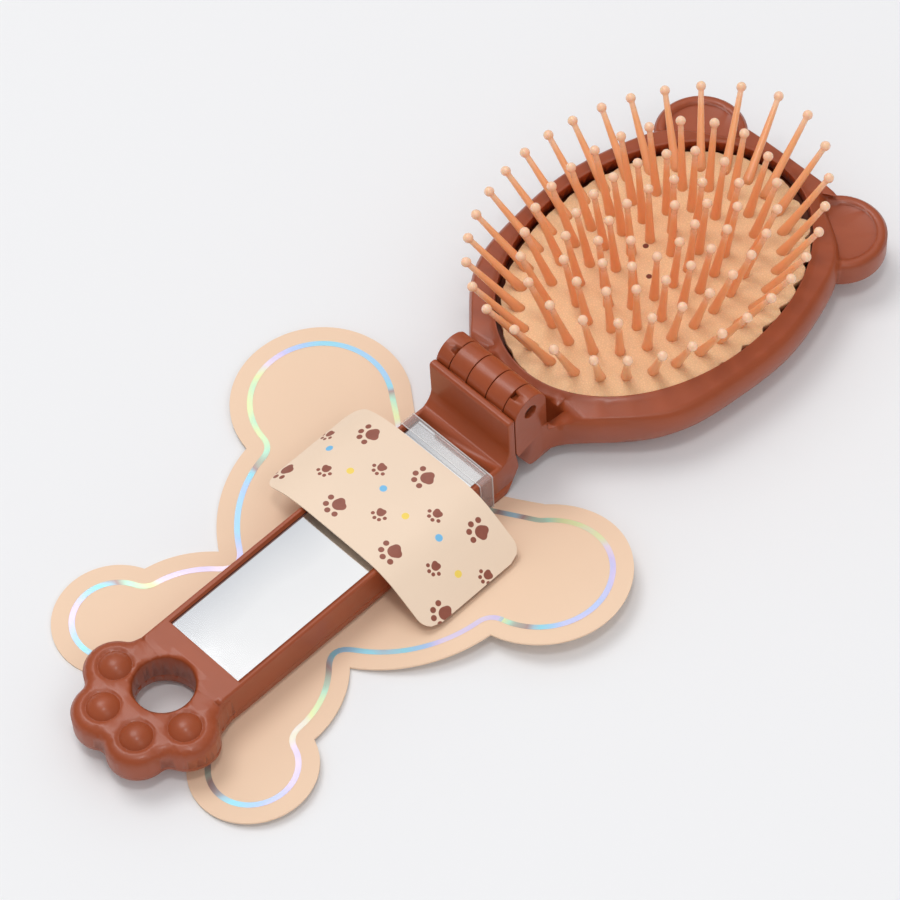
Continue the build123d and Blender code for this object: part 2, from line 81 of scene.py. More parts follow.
class BrushSizes(bpy.types.PropertyGroup):
    """Sizes of the brush's finer pieces"""

    pin_foot: length("Pin foot", "Radius of a pin where it leaves the cushion", 1.12 * MM)
    pin_neck: length("Pin neck", "Radius of a pin just under its ball", 0.58 * MM)
    pin_ball: length("Pin ball", "Radius of the ball at a pin's tip", 1.04 * MM)
    pin_sides: IntProperty(name="Pin sides", description="Sides round a pin", default=12, min=6)
    dome: length("Cushion dome", "Rise of the cushion's middle over its edge", 1.3 * MM)
    pucker: length("Cushion puckers", "Height of the puckers along the cushion's edge", 0.42 * MM)
    grain: length("Grain", "Size of the cushion's leather grain", 0.5 * MM)
    pin_spread: length("Pin spread", "Extra lean of the outer pins on the far side", 5.6 * MM)
    card_lift: length("Card lift", "Rise of the card's near lobes off the table", 4.6 * MM)
    card_lift_far: length("Card lift, far", "Rise of the card's far lobes", 1.2 * MM)
    foil_inset: length("Foil inset", "From the card's edge to the foil line", 4.0 * MM)
    foil_width: length("Foil width", "Width of the card's foil line", 1.15 * MM)
    print_size: length("Print size", "Width of a large paw print on the band", 4.8 * MM)


class BrushColours(bpy.types.PropertyGroup):
    """Colours of the brush's finishes"""

    plastic: colour("Plastic", "Moulded brown plastic", (158, 73, 36))
    cushion: colour("Cushion", "Rubber cushion skin", (255, 206, 158))
    pin: colour("Pins", "Nylon pins", (244, 172, 120))
    pin_tip: colour("Pin tips", "Balls at the pins' tips", (252, 204, 172))
    card: colour("Card", "Printed backing card", (241, 208, 178))
    band: colour("Band", "Cream paper band", (240, 215, 190))
    ink: colour("Ink", "Paw prints on the band", (150, 84, 66))
    sky: colour("Sky dots", "Blue dots on the band", (120, 190, 232))
    sun: colour("Sun dots", "Yellow dots on the band", (246, 214, 96))
    backdrop: colour("Backdrop", "Table and surroundings", (240, 240, 241))


# ---------------------------------------------------------------- shader nodes


class Nodes:
    """Short calls that add nodes to a shader tree; a value is a socket or plain numbers."""

    def __init__(self, tree):
        self.tree = tree
        self.coords = tree.nodes.new("ShaderNodeTexCoord").outputs

    def feed(self, target, value):
        """Links a socket to an input, or writes numbers in it."""
        if isinstance(value, bpy.types.NodeSocket):
            self.tree.links.new(value, target)
        else:
            target.default_value = value

    def node(self, kind, values=None, **settings):
        """A new node with its own settings and the values of its inputs."""
        made = self.tree.nodes.new(kind)
        for key, value in settings.items():
            setattr(made, key, value)
        for key, value in (values or {}).items():
            self.feed(made.inputs[key], value)
        return made

    def noise(self, size, detail=3.0, roughness=0.5):
        """A noise whose blotches are about size metres across."""
        return self.node("ShaderNodeTexNoise", {
            "Vector": self.coords["Object"], "Scale": 1.0 / size, "Detail": detail,
            "Roughness": roughness}).outputs["Fac"]

    def ramp(self, fac, *stops):
        """A colour ramp; each stop is (place, colour)."""
        made = self.node("ShaderNodeValToRGB", {"Fac": fac})
        points = made.color_ramp.elements
        while len(points) < len(stops):
            points.new(0.5)
        for point, (place, tone) in zip(points, stops):
            point.position = place
            point.color = tone
        return made.outputs["Color"]

    def mapped(self, value, first, last, low=0.0, high=1.0):
        """A value between first and last carried to between low and high, and kept there."""
        return self.node("ShaderNodeMapRange", {
            "Value": value, "From Min": first, "From Max": last, "To Min": low,
            "To Max": high}).outputs["Result"]

    def spread(self, fac, low, high):
        """fac, from 0 to 1, spread from low to high."""
        return self.mapped(fac, 0.0, 1.0, low, high)

    def maths(self, operation, *values):
        """A sum, or another operation, on numbers."""
        return self.node("ShaderNodeMath", dict(enumerate(values)),
                         operation=operation).outputs[0]

    def vector_maths(self, operation, *values):
        """The node of an operation on vectors."""
        return self.node("ShaderNodeVectorMath", dict(enumerate(values)), operation=operation)

    def mix(self, fac, first, second):
        """A colour between first and second."""
        return self.node("ShaderNodeMix", {0: fac, 6: first, 7: second},
                         data_type="RGBA").outputs[2]


class Finish(Nodes):
    """A node material with a Principled shader."""

    def __init__(self, name):
        self.material = bpy.data.materials.new(name)
        self.material.use_nodes = True
        super().__init__(self.material.node_tree)
        self.shader = self.tree.nodes["Principled BSDF"]

    def set(self, **values):
        """Feeds the shader's inputs, named with underscores for their spaces."""
        for key, value in values.items():
            self.feed(self.shader.inputs[key.replace("_", " ")], value)

    def bump(self, height, strength, distance, edge=0.0):
        """Texture in the shading, over edges that look rounded by edge metres."""
        values = {"Height": height, "Strength": strength, "Distance": distance}
        if edge:
            bevel = self.node("ShaderNodeBevel", {"Radius": edge}, samples=6)
            values["Normal"] = bevel.outputs["Normal"]
        self.set(Normal=self.node("ShaderNodeBump", values).outputs["Normal"])


def shade(tone, factor):
    """A lighter or darker version of a colour."""
    return tuple(min(1.0, c * factor) for c in tone[:3]) + (1.0,)


def plan_of(finish, place):
    """A place with its height taken out."""
    return finish.vector_maths("MULTIPLY", place, (1.0, 1.0, 0.0)).outputs[0]


def lobe_distance(finish, place, middle, radius):
    """How far a point in plan is outside a circle, in metres."""
    shift = finish.vector_maths("SUBTRACT", place, (middle[0], middle[1], 0.0)).outputs[0]
    scaled = finish.vector_maths("DIVIDE", shift, (radius, radius, 1.0)).outputs[0]
    reach = finish.vector_maths("LENGTH", scaled).outputs["Value"]
    return finish.maths("MULTIPLY", finish.maths("SUBTRACT", reach, 1.0), radius)


def nearest(finish, distances, soft=0.0):
    """The least of several distances, rounded over where two meet."""
    least = distances[0]
    for other in distances[1:]:
        least = finish.maths("SMOOTH_MIN", least, other, soft)
    return least


def within(finish, distance, limit, edge=0.05 * MM):
    """1 where distance is under limit, falling to 0 across a thin edge."""
    return finish.mapped(distance, limit - edge, limit + edge, 1.0, 0.0)


# ---------------------------------------------------------------- materials


VENTS = ((91.5, 4.8), (86.5, -0.9))
VENT_RADIUS = 0.6
PRINT_EDGE = 0.04 * MM          # how sharp the printing is
DOT_RADIUS = 0.75
FOIL_PERIOD = 52.0              # length of foil line in which the rainbow repeats
MIRROR_EDGE = 0.22              # dark line round the glass
FILM_GLINT = 0.16                # painted highlight along the film's cuts


def plastic_finish(name, tone, roughness=0.38):
    """Satin moulded plastic: a faint cloudiness, a faint texture and a thin gloss."""
    finish = Finish(name)
    cloud = finish.noise(14 * MM, detail=3.0, roughness=0.55)
    gloss = finish.noise(1.2 * MM, detail=2.0)
    finish.set(
        Base_Color=finish.ramp(cloud, (0.3, shade(tone, 0.93)), (0.7, shade(tone, 1.06))),
        Roughness=finish.spread(gloss, roughness - 0.04, roughness + 0.05), IOR=1.48,
        Coat_Weight=0.12, Coat_Roughness=0.16, Subsurface_Weight=0.06, Subsurface_Scale=0.002,
        Subsurface_Radius=(1.0, 0.4, 0.2))
    finish.bump(finish.noise(0.35 * MM, detail=2.0), 0.08, 0.02 * MM, edge=0.28 * MM)
    return finish.material


def mirror_finish(low, high):
    """Silvered glass with a painted reflection that makes it greyer on its far side, and a dark
    line where it meets its bed.
    """
    finish = Finish("Mirror glass")
    parts = finish.node("ShaderNodeSeparateXYZ", {"Vector": finish.coords["Object"]}).outputs
    # painted reflection: the glass's colour fades from white to grey toward its far side,
    # softened by a cloud
    cloud = finish.spread(finish.noise(25 * MM, detail=2.0), -0.25, 0.25)
    haze = finish.maths("ADD", finish.mapped(parts["Y"], low.y, high.y), cloud)
    silver_and_painted_reflection = finish.ramp(haze, (0.0, (1.0, 1.0, 1.0, 1.0)), (0.45, (0.96, 0.965, 0.97, 1.0)),
                         (1.0, (0.72, 0.74, 0.77, 1.0)))
    beyond = []
    for axis, a, b in (("X", low.x, high.x), ("Y", low.y, high.y)):
        off = finish.maths("ABSOLUTE", finish.maths("SUBTRACT", parts[axis], (a + b) / 2))
        beyond.append(finish.maths("SUBTRACT", off, (b - a) / 2))
    glass = within(finish, finish.maths("MAXIMUM", *beyond), -MIRROR_EDGE * MM)
    dark = finish.maths("SUBTRACT", 1.0, glass)
    finish.set(Base_Color=finish.mix(dark, silver_and_painted_reflection, linear(74, 46, 38)),
               Metallic=finish.maths("SUBTRACT", 1.0, dark),
               Roughness=finish.spread(finish.noise(6 * MM, detail=2.0), 0.05, 0.09), IOR=1.5)
    return finish.material


def rubber_finish(tone, grain):
    """Fine leather-grained rubber: small cells with creases between them, and its vents."""
    finish = Finish("Cushion rubber")
    cells = finish.node("ShaderNodeTexVoronoi", {
        "Vector": finish.coords["Object"], "Scale": 1.0 / grain}, feature="DISTANCE_TO_EDGE")
    near = finish.maths("MINIMUM", cells.outputs["Distance"], 0.25)
    creases = finish.maths("MULTIPLY", near, 4.0)
    cloud = finish.noise(9 * MM, detail=4.0, roughness=0.6)
    fine = finish.noise(grain * 0.7, detail=3.0)
    base = finish.ramp(cloud, (0.3, shade(tone, 0.95)), (0.7, shade(tone, 1.03)))
    skin = finish.mix(finish.spread(creases, 0.3, 0.0), base, shade(tone, 0.6))
    place = plan_of(finish, finish.coords["Object"])
    vents = nearest(finish, [lobe_distance(finish, place, (x * MM, y * MM), VENT_RADIUS * MM)
                             for x, y in VENTS])
    finish.set(Base_Color=finish.mix(within(finish, vents, 0.0), skin, linear(120, 52, 30)),
               Roughness=finish.spread(fine, 0.46, 0.6), IOR=1.45, Subsurface_Weight=0.2,
               Subsurface_Scale=0.004, Subsurface_Radius=(1.0, 0.5, 0.3))
    height = finish.maths("ADD", finish.maths("MULTIPLY", creases, 0.75),
                          finish.maths("MULTIPLY", fine, 0.35))
    finish.bump(height, 0.6, 0.08 * MM)
    return finish.material


def pin_finish(tone, tip):
    """Nylon pins, paler and glossier at the ball; the height along a pin is an attribute."""
    finish = Finish("Pin nylon")
    along = finish.node("ShaderNodeAttribute", attribute_name="along").outputs["Fac"]
    body_tone = finish.ramp(along, (0.0, shade(tone, 0.84)), (0.22, tone),
                              (0.7, shade(tone, 1.05)), (0.92, tip))
    cloud = finish.spread(finish.noise(4 * MM, detail=2.0), 0.0, 0.12)
    finish.set(Base_Color=finish.mix(cloud, body_tone, shade(tone, 0.82)),
               Roughness=finish.spread(along, 0.42, 0.24), IOR=1.5, Coat_Weight=0.2,
               Coat_Roughness=0.12, Subsurface_Weight=0.4, Subsurface_Scale=0.002,
               Subsurface_Radius=(1.0, 0.5, 0.25))
    finish.bump(finish.noise(0.5 * MM, detail=2.0), 0.05, 0.02 * MM)
    return finish.material


def paper_tone(finish, tone, size):
    """The faintly clouded colour of card or paper."""
    cloud = finish.noise(size, detail=4.0, roughness=0.55)
    return finish.ramp(cloud, (0.3, shade(tone, 0.97)), (0.7, shade(tone, 1.02)))


def card_finish(tone):
    """Smooth printed card, matt on its edge too."""
    finish = Finish("Backing card")
    finish.set(Base_Color=paper_tone(finish, tone, 40 * MM),
               Roughness=finish.spread(finish.noise(2 * MM, detail=2.0), 0.5, 0.6), IOR=1.45)
    finish.bump(finish.noise(0.25 * MM, detail=3.0), 0.06, 0.02 * MM)
    return finish.material


def foil_finish():
    """Rainbow foil whose hue drifts along the line and across the card."""
    finish = Finish("Rainbow foil")
    along = finish.node("ShaderNodeAttribute", attribute_name="along").outputs["Fac"]
    drift = finish.maths("MULTIPLY", finish.noise(18 * MM, detail=2.0), 1.6)
    periods = finish.maths("MULTIPLY", along, 1.0 / (FOIL_PERIOD * MM))
    hue = finish.maths("FRACT", finish.maths("ADD", periods, drift))
    rainbow = finish.ramp(
        hue, (0.0, linear(150, 216, 232)), (0.2, linear(172, 202, 240)),
        (0.38, linear(212, 200, 238)), (0.5, linear(232, 216, 232)),
        (0.62, linear(228, 236, 178)), (0.76, linear(186, 230, 206)),
        (0.88, linear(176, 150, 146)), (0.94, linear(168, 200, 214)),
        (1.0, linear(150, 216, 232)))
    finish.set(Base_Color=rainbow, Metallic=0.35, IOR=1.5,
               Roughness=finish.spread(finish.noise(3 * MM, detail=2.0), 0.24, 0.4))
    return finish.material


PAW_PADS = ((-0.12, 0.0, 0.27), (-0.24, 0.13, 0.17), (-0.24, -0.13, 0.17))
PAW_TOES = ((0.12, 0.42, 0.125), (0.37, 0.16, 0.125), (0.37, -0.16, 0.125), (0.12, -0.42, 0.125))
PAW_JOIN = 0.08                 # how softly the three circles of the pad run together


def paw_distance(finish, place, middle, size, turn):
    """How far a point of the band is outside a paw print: a pad and four toes."""
    c, s = math.cos(turn), math.sin(turn)

    def circles(spots):
        """Distances to circles given along and across the print, as shares of its size."""
        return [lobe_distance(finish, place, (middle[0] + size * (along * c - across * s),
                                              middle[1] + size * (along * s + across * c)),
                              radius * size) for along, across, radius in spots]

    return finish.maths("MINIMUM", nearest(finish, circles(PAW_PADS), PAW_JOIN * size),
                        nearest(finish, circles(PAW_TOES)))


def band_finish(tone, ink, prints, dots):
    """Cream paper with printed paw prints and dots; they follow the band's own UV map."""
    finish = Finish("Cream band")
    uv = plan_of(finish, finish.coords["UV"])
    marks = nearest(finish, [paw_distance(finish, uv, *one) for one in prints])
    ink_tone = finish.ramp(finish.noise(1.5 * MM, detail=2.0), (0.35, shade(ink, 0.9)),
                           (0.65, ink))
    face = finish.mix(within(finish, marks, 0.0, PRINT_EDGE),
                      paper_tone(finish, tone, 30 * MM), ink_tone)
    for dot_tone, places in dots:
        spots = nearest(finish, [lobe_distance(finish, uv, place, DOT_RADIUS * MM)
                                 for place in places])
        face = finish.mix(within(finish, spots, 0.0, PRINT_EDGE), face, dot_tone)
    finish.set(Base_Color=face, IOR=1.45, Coat_Weight=0.15, Coat_Roughness=0.22,
               Roughness=finish.spread(finish.noise(2 * MM, detail=2.0), 0.4, 0.5))
    finish.bump(finish.noise(0.3 * MM, detail=3.0), 0.05, 0.02 * MM)
    return finish.material


def film_finish(low, high):
    """Clear packing film: nearly see-through, with a painted highlight that makes it whiter along
    its two cut edges.
    """
    finish = Finish("Clear film")
    parts = finish.node("ShaderNodeSeparateXYZ", {"Vector": finish.coords["Object"]}).outputs
    across = finish.maths("SUBTRACT", parts["X"], (low.x + high.x) / 2)
    inside = within(finish, finish.maths("ABSOLUTE", across),
                    (high.x - low.x) / 2 - FILM_GLINT * MM)
    haze = finish.spread(finish.noise(4 * MM, detail=2.0), 0.14, 0.2)
    # painted highlight: along the cut edges the film is whiter and less see-through
    cut = finish.maths("SUBTRACT", 0.5, finish.maths("MULTIPLY", inside, 0.5))
    finish.set(Base_Color=finish.mix(inside, (0.97, 0.96, 0.95, 1.0), (0.78, 0.75, 0.73, 1.0)),
               Alpha=finish.maths("MAXIMUM", haze, cut), Roughness=0.14, IOR=1.45)
    return finish.material


def foam_finish():
    """Dark open foam tape behind the mirror."""
    finish = Finish("Foam tape")
    finish.set(Base_Color=finish.ramp(finish.noise(0.4 * MM, detail=3.0),
                                      (0.35, linear(32, 30, 30)), (0.65, linear(70, 66, 64))),
               Roughness=0.9)
    finish.bump(finish.noise(0.3 * MM, detail=2.0), 0.3, 0.05 * MM)
    return finish.material


def steel_finish():
    """Brushed steel of the hinge pin."""
    finish = Finish("Steel pin")
    finish.set(Base_Color=finish.ramp(finish.noise(1.5 * MM, detail=4.0),
                                      (0.3, linear(150, 148, 146)), (0.7, linear(188, 186, 184))),
               Roughness=finish.spread(finish.noise(0.5 * MM, detail=3.0), 0.28, 0.42),
               Metallic=1.0)
    return finish.material


# ---------------------------------------------------------------- meshes


def dress(node_name, material):
    """Gives a CAD node one material."""
    materials = NODES[node_name].data.materials
    materials.clear()
    materials.append(material)


def corners_of(node_name):
    """The lowest and the highest corner of a CAD node's box."""
    return [Vector(corner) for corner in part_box(node_name)]


def finished(name, bm, material, body, nodes=(), sharp=None):
    """A new piece from a bmesh: doubles merged, faces outward, smooth up to an angle."""
    bmesh.ops.remove_doubles(bm, verts=bm.verts, dist=MERGE)
    bmesh.ops.recalc_face_normals(bm, faces=bm.faces)
    mesh = bpy.data.meshes.new(name)
    bm.to_mesh(mesh)
    bm.free()
    mesh.materials.append(material)
    mesh.shade_smooth()
    made = bpy.data.objects.new(name, mesh)
    bpy.context.scene.collection.objects.link(made)
    if sharp:
        mesh.set_sharp_from_angle(angle=math.radians(sharp))
        made.modifiers.new("Weighted normals", "WEIGHTED_NORMAL").keep_sharp = True
    if nodes:
        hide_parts(*nodes)
    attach(made, body)
    return made


def cad_copy(node_name):
    """A bmesh of a CAD node with its doubles merged."""
    bm = bmesh.new()
    bm.from_mesh(NODES[node_name].data)
    bmesh.ops.remove_doubles(bm, verts=bm.verts, dist=MERGE)
    return bm


def smooth_step(value, low, high):
    """0 below low, 1 above high, and smooth between them."""
    t = min(1.0, max(0.0, (value - low) / (high - low)))
    return t * t * (3 - 2 * t)


def spun(bm, outline, steps):
    """Spins an outline of (radius, height) points round the z axis; returns its vertices."""
    old = set(bm.verts)
    verts = [bm.verts.new((radius, 0.0, height)) for radius, height in outline]
    edges = [bm.edges.new(pair) for pair in zip(verts, verts[1:])]
    bmesh.ops.spin(bm, geom=verts + edges, cent=(0, 0, 0), axis=(0, 0, 1), angle=math.tau,
                   steps=steps, use_merge=True)
    bmesh.ops.remove_doubles(bm, verts=[vert for vert in bm.verts if vert not in old],
                             dist=MERGE)
    return [vert for vert in bm.verts if vert not in old]


def cut_across(bm, place, normal):
    """Cuts every face of a bmesh along a plane."""
    bmesh.ops.bisect_plane(bm, geom=bm.verts[:] + bm.edges[:] + bm.faces[:],
                           plane_co=place, plane_no=normal)


def thickened(bm, thickness):
    """Turns a sheet face up and gives it its thickness, above it where that is negative."""
    bmesh.ops.recalc_face_normals(bm, faces=bm.faces)
    if sum(face.normal.z for face in bm.faces) < 0:
        bmesh.ops.reverse_faces(bm, faces=bm.faces)
    bmesh.ops.solidify(bm, geom=bm.faces[:], thickness=thickness)


# ---------------------------------------------------------------- handle and head


PLASTIC_PIECES = (              # node, body, degrees up to which its edges are smooth
    ("handle_frame", "handle", 42),
    ("handle_back", "handle", 42),
    ("head_rim", "head", 36),
    ("head_back", "head", 36),
)
RING_PAINTED_SHADE = 0.45              # the clamp ring is darkened: painted shade in the gap under the cushion's edge
HANDLE_TOES = ((-46.5, 9.7), (-54.1, 4.6), (-54.1, -4.6), (-46.5, -9.7))
TOE_MIDDLE = 7.6
TOE_RADIUS = 4.02
TOE_SLOPE = math.radians(54)    # steepness at the foot of a dome
TOE_RINGS = 9
TOE_SIDES = 40
PAW_START, PAW_END = -33.0, -50.0
PAW_LIFT = 3.0
PAW_BASE, PAW_TOP = 0.4, 7.4    # heights between which the lift fades out
PAW_CUTS = 12
PAW_CUT_STEP = 1.6


def toe_domes(bm):
    """The round pads of the four toes."""
    turns = [TOE_SLOPE * ring / TOE_RINGS for ring in range(1, TOE_RINGS + 1)]
    outline = [(TOE_RADIUS * math.sin(turn) * MM, (TOE_MIDDLE + TOE_RADIUS * math.cos(turn)) * MM)
               for turn in turns]
    for x, y in HANDLE_TOES:
        dome = spun(bm, outline, TOE_SIDES)
        bmesh.ops.translate(bm, vec=Vector((x, y, 0)) * MM, verts=dome)
    crown = outline[0][1] - 0.01 * MM
    bmesh.ops.edgeloop_fill(bm, edges=[edge for edge in bm.edges if edge.is_boundary
                                       and min(vert.co.z for vert in edge.verts) > crown])


def raise_paw(bm):
    """Thins the handle toward the paw: its underside sweeps up off the table."""
    for i in range(PAW_CUTS):
        cut_across(bm, Vector((PAW_START - PAW_CUT_STEP * i, 0, 0)) * MM, Vector((1, 0, 0)))
    for vert in bm.verts:
        along = smooth_step(-vert.co.x / MM, -PAW_START, -PAW_END)
        low = 1.0 - smooth_step(vert.co.z / MM, PAW_BASE, PAW_TOP)
        vert.co.z += PAW_LIFT * MM * along * low


class BRUSH_OT_plastic(bpy.types.Operator):
    """Give the handle, the head and the hinge their moulded plastic and steel"""

    bl_idname = "brush.plastic"
    bl_label = "Moulded Plastic"

    def execute(self, context):
        tone = tuple(context.scene.brush_colours.plastic)
        brown = plastic_finish("Brown plastic", tone)
        for name, body, sharp in PLASTIC_PIECES:
            bm = cad_copy(name)
            if body == "handle":
                raise_paw(bm)
            finished(name + "_moulding", bm, brown, body, [name], sharp)
        domes = bmesh.new()
        toe_domes(domes)
        finished("toe_domes", domes, brown, "handle")
        # the clamp ring gets darkened plastic: painted shade in the gap between the cushion and
        # the rim
        dress("cushion_ring", plastic_finish("Painted shade plastic", shade(tone, RING_PAINTED_SHADE), 0.5))
        dress("hinge_pin", steel_finish())
        dress("mirror_adhesive", foam_finish())
        return {"FINISHED"}


class BRUSH_OT_mirror(bpy.types.Operator):
    """Silver the mirror plate"""

    bl_idname = "brush.mirror"
    bl_label = "Mirror"

    def execute(self, context):
        dress("mirror", mirror_finish(*corners_of("mirror")))
        return {"FINISHED"}


# ---------------------------------------------------------------- pins


PIN_SPREADS = {                 # share of the extra lean that each ring takes
    "pins_outer_ring": 1.0,
    "pins_second_ring": 0.35,
    "pins_third_ring": 0.12,
    "pins_fourth_ring": 0.0,
    "pins_centre_row": 0.0,
}
PIN_FLARE = (                   # radius as a share of the foot's, height
    (1.05, 0.0), (1.0, 1.1), (0.93, 2.2), (0.84, 3.8), (0.74, 6.8),
)
PIN_WAIST = (1.12, 0.8)         # radius as a share of the neck's, height as one of the collar's
PIN_COLLAR = (1.04, 0.25)       # radius where the ball starts, and how far under it the neck is
PIN_BALL_RINGS = 6
PIN_WOBBLE = 0.35
PIN_STRETCH = 0.02              # how much longer a pin with extra lean is
SPREAD_START, SPREAD_END = -12.0, 3.0    # where, across the brush, the extra lean comes in
PIN_END = 0.03                  # share of a pin that counts as its foot or its tip
AXIS_PASSES = 3                 # rounds that settle where a pin's axis lies


def islands(node_name):
    """The loose pieces of a CAD node, each as a list of its points."""
    bm = cad_copy(node_name)
    left = set(bm.verts)
    found = []
    for first in bm.verts:
        if first not in left:
            continue
        left.discard(first)
        queue, points = [first], []
        while queue:
            vert = queue.pop()
            points.append(vert.co.copy())
            for edge in vert.link_edges:
                other = edge.other_vert(vert)
                if other in left:
                    left.discard(other)
                    queue.append(other)
        found.append(points)
    bm.free()
    return found


def axis_of(points):
    """The two ends of a slim turned piece, foot first."""
    low = min(points, key=lambda p: p.z)
    high = max(points, key=lambda p: p.z)
    for _ in range(AXIS_PASSES):
        along = (high - low).normalized()
        places = [p.dot(along) for p in points]
        reach = (max(places) - min(places)) * PIN_END
        foot = [p for p, t in zip(points, places) if t < min(places) + reach]
        tip = [p for p, t in zip(points, places) if t > max(places) - reach]
        low = sum(foot, Vector()) / len(foot)
        high = sum(tip, Vector()) / len(tip)
        along = (high - low).normalized()
        low = low + along * (min(p.dot(along) for p in points) - low.dot(along))
        high = high + along * (max(p.dot(along) for p in points) - high.dot(along))
    return low, high


def pin_profile(reach, foot, neck, ball):
    """Half outline of a pin from foot to tip: flare, slim taper, neck and ball."""
    collar = reach - ball - math.sqrt(ball * ball - neck * neck)
    outline = [(0.0, 0.0)] + [(foot * share, height * MM) for share, height in PIN_FLARE]
    outline += [(neck * PIN_WAIST[0], collar * PIN_WAIST[1]),
                (neck, collar - PIN_COLLAR[1] * MM), (neck * PIN_COLLAR[0], collar)]
    first = math.pi - math.asin(neck / ball)
    for ring in range(1, PIN_BALL_RINGS + 1):
        turn = first * (1 - ring / PIN_BALL_RINGS)
        outline.append((ball * math.sin(turn), reach - ball + ball * math.cos(turn)))
    return outline


def add_pin(bm, low, high, sizes):
    """A pin spun round its axis and set between its two ends."""
    reach = (high - low).length
    outline = pin_profile(reach, sizes.pin_foot, sizes.pin_neck, sizes.pin_ball)
    pin = spun(bm, outline, sizes.pin_sides)
    along = bm.verts.layers.float["along"]
    for vert in pin:
        vert[along] = vert.co.z / reach
    turn = Vector((0, 0, 1)).rotation_difference(high - low).to_matrix().to_4x4()
    bmesh.ops.transform(bm, matrix=Matrix.Translation(low) @ turn, verts=pin)


def leaned(low, high, spread):
    """The tip of a pin that leans further toward +Y where its foot is on that side."""
    lean = high - low
    reach = lean.length * (1.0 + PIN_STRETCH * min(1.0, spread / MM))
    lean.y += spread * smooth_step(low.y, SPREAD_START * MM, SPREAD_END * MM)
    lean.x += PIN_WOBBLE * MM * noise.noise(low * 900)
    lean.y += PIN_WOBBLE * MM * noise.noise(low * 700)
    lean.z = math.sqrt(reach ** 2 - lean.x ** 2 - lean.y ** 2)
    return low + lean


class BRUSH_OT_pins(bpy.types.Operator):
    """Turn every pin on its own axis, with a flared foot and a ball tip"""

    bl_idname = "brush.pins"
    bl_label = "Pins"

    def execute(self, context):
        sizes, colours = context.scene.brush_sizes, context.scene.brush_colours
        nylon = pin_finish(tuple(colours.pin), tuple(colours.pin_tip))
        for ring, share in PIN_SPREADS.items():
            bm = bmesh.new()
            bm.verts.layers.float.new("along")
            for points in islands(ring):
                low, high = axis_of(points)
                add_pin(bm, low, leaned(low, high, sizes.pin_spread * share), sizes)
            finished(ring + "_turned", bm, nylon, "head", [ring])
        return {"FINISHED"}


# ---------------------------------------------------------------- cushion


CUSHION_MIDDLE = (88.8, 0.0)
CUSHION_HALF = (34.3, 25.05)
CUSHION_TOP = 13.9
CUSHION_FOOT = 11.1
CUSHION_SIDES = 384
CUSHION_ROWS = 40
CUSHION_CROWDING = 0.85         # rows stand closer toward the edge
DOME_POWER = 6                  # the dome stays flat in the middle and falls at its edge
UNEVENNESS = (0.18, 0.12)       # height and frequency
EDGE_START = 0.8                # the edge's own forms begin at this share of the way out
CLOSED_TURN = math.radians(-107)         # where the skin reaches the lip
CLOSED_REACH, OPEN_REACH = 1.62, 0.45    # how far it goes out there, and elsewhere
CLOSED_FADE = (0.0, 0.5)        # cosines of the turn off it at which that starts and is full
CLOSED_FLATNESS = 0.6           # share of the dome's fall that is lost there
GATHER_TURN = math.radians(-52)          # where its tucks are deepest
GATHER_FADE = (0.45, 0.9)       # cosines, as above
GATHER_LEAST = 0.22
TUCK_DEPTH = 1.25
TUCK_SHARPNESS = 7
TUCK_FALL = (0.7, 0.35)         # of a pucker: the tuck's fall, and the level that it falls from
RIDGE_DEPTH = 0.3
RIDGE_RISE = 1.6                # of a pucker
RIDGES = (17, 1.6)              # frequency of the small ridges, round and outward
HEM = ((0.06, 0.3), (0.02, 0.5))         # the edge turns down: further out, further down


def outer_turns():
    """The turns round the cushion at which the outer pins stand, in order."""
    turns = []
    for points in islands("pins_outer_ring"):
        low = axis_of(points)[0]
        turns.append(math.atan2((low.y / MM - CUSHION_MIDDLE[1]) / CUSHION_HALF[1],
                                (low.x / MM - CUSHION_MIDDLE[0]) / CUSHION_HALF[0]))
    return sorted(turns)


def tuck_at(turn, turns):
    """0 beside an outer pin, rising to 1 in a narrow tuck halfway to the next."""
    turn = (turn - turns[0]) % math.tau + turns[0]
    after = next((i for i, one in enumerate(turns) if one > turn), len(turns))
    low = turns[after - 1]
    high = turns[after] if after < len(turns) else turns[0] + math.tau
    return max(0.0, math.sin(math.pi * (turn - low) / (high - low))) ** TUCK_SHARPNESS


def cushion_point(share, turn, turns, sizes):
    """A point of the cushion's skin; share is 0 in the middle and 1 on the edge."""
    c, s = math.cos(turn), math.sin(turn)
    ridge = noise.noise(Vector((RIDGES[0] * c, RIDGES[0] * s, RIDGES[1] * share)))
    closed = smooth_step(math.cos(turn - CLOSED_TURN), *CLOSED_FADE)
    gather = smooth_step(math.cos(turn - GATHER_TURN), *GATHER_FADE)
    gather = GATHER_LEAST + (1.0 - GATHER_LEAST) * gather
    tuck = tuck_at(turn, turns)
    outer = smooth_step(share, EDGE_START, 1.0)
    edge = CLOSED_REACH * closed + OPEN_REACH * (1.0 - closed)
    edge -= gather * (TUCK_DEPTH * tuck + RIDGE_DEPTH * abs(ridge))
    x = CUSHION_MIDDLE[0] + (CUSHION_HALF[0] + edge * outer) * share * c
    y = CUSHION_MIDDLE[1] + (CUSHION_HALF[1] + edge * outer) * share * s
    z = CUSHION_TOP - sizes.dome / MM * share ** DOME_POWER * (1.0 - CLOSED_FLATNESS * closed)
    pucker = RIDGE_RISE * ridge + TUCK_FALL[0] * (TUCK_FALL[1] - tuck)
    z += sizes.pucker / MM * gather * outer * pucker
    z += UNEVENNESS[0] * noise.noise(Vector((x, y, 0.0)) * UNEVENNESS[1])
    return Vector((x, y, z))


